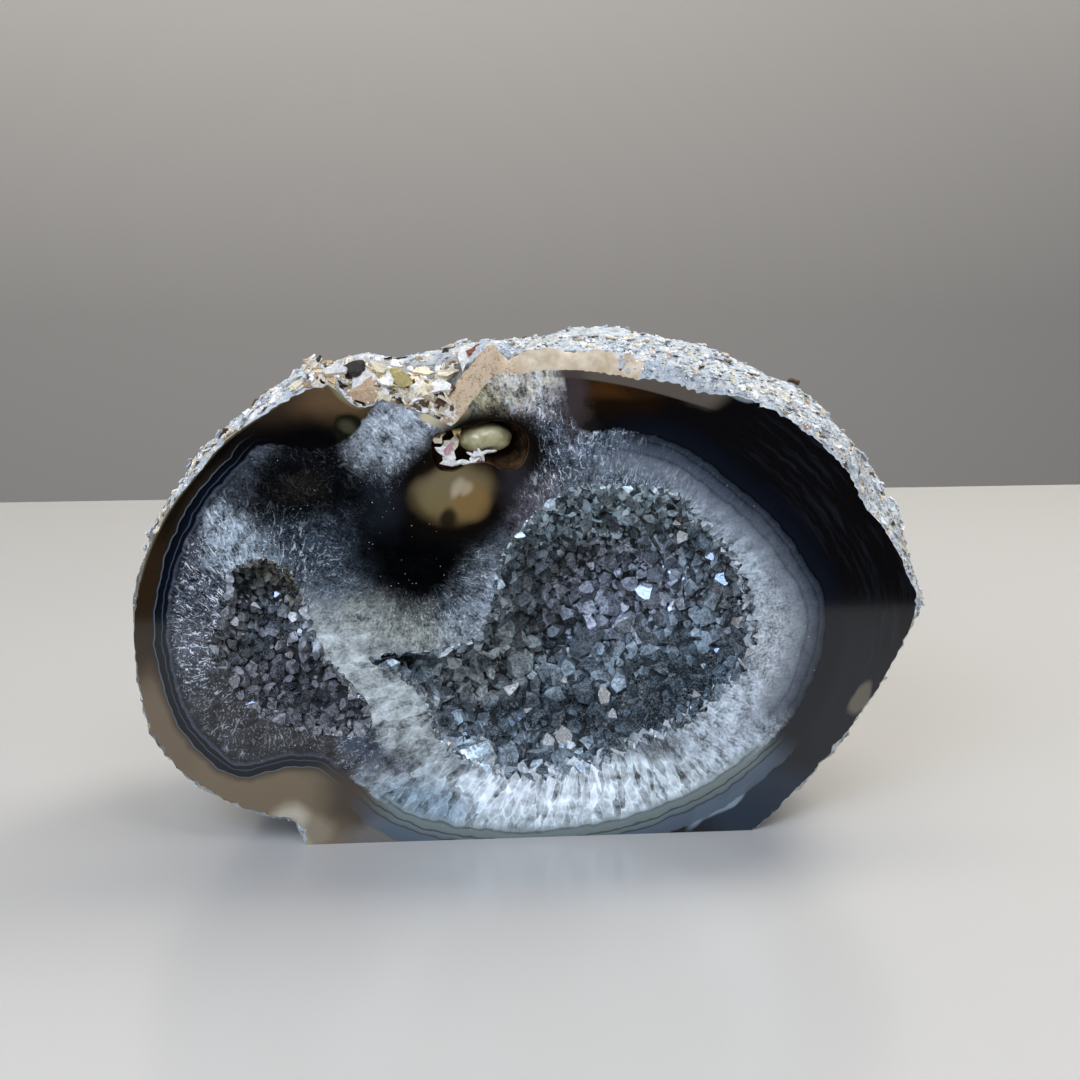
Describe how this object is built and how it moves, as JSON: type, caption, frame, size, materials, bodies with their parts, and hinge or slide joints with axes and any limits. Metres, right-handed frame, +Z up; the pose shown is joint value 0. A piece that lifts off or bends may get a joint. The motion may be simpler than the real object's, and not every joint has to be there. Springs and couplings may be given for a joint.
{
  "type": "agate geode",
  "caption": "Agate nodule sawn through and polished on its front, with two hollows lined with quartz crystals, rough rind behind and a sawn base to stand on.",
  "frame": {"origin": "middle of the bounding box on the sawn base that the geode stands on", "axes": "+X to the right along the polished face seen from its front, +Y back from the polished face, +Z up"},
  "size_m": [0.135, 0.064, 0.0859],
  "materials": {
    "polished_agate": "polished on the front, natural rough rind behind, sawn matt base",
    "smoky_quartz": "natural flat glassy crystal faces"
  },
  "bodies": {
    "root": {"agate_stone": "polished_agate", "main_crystal_crust": "smoky_quartz", "side_crystal_crust": "smoky_quartz"}
  },
  "joints": []
}
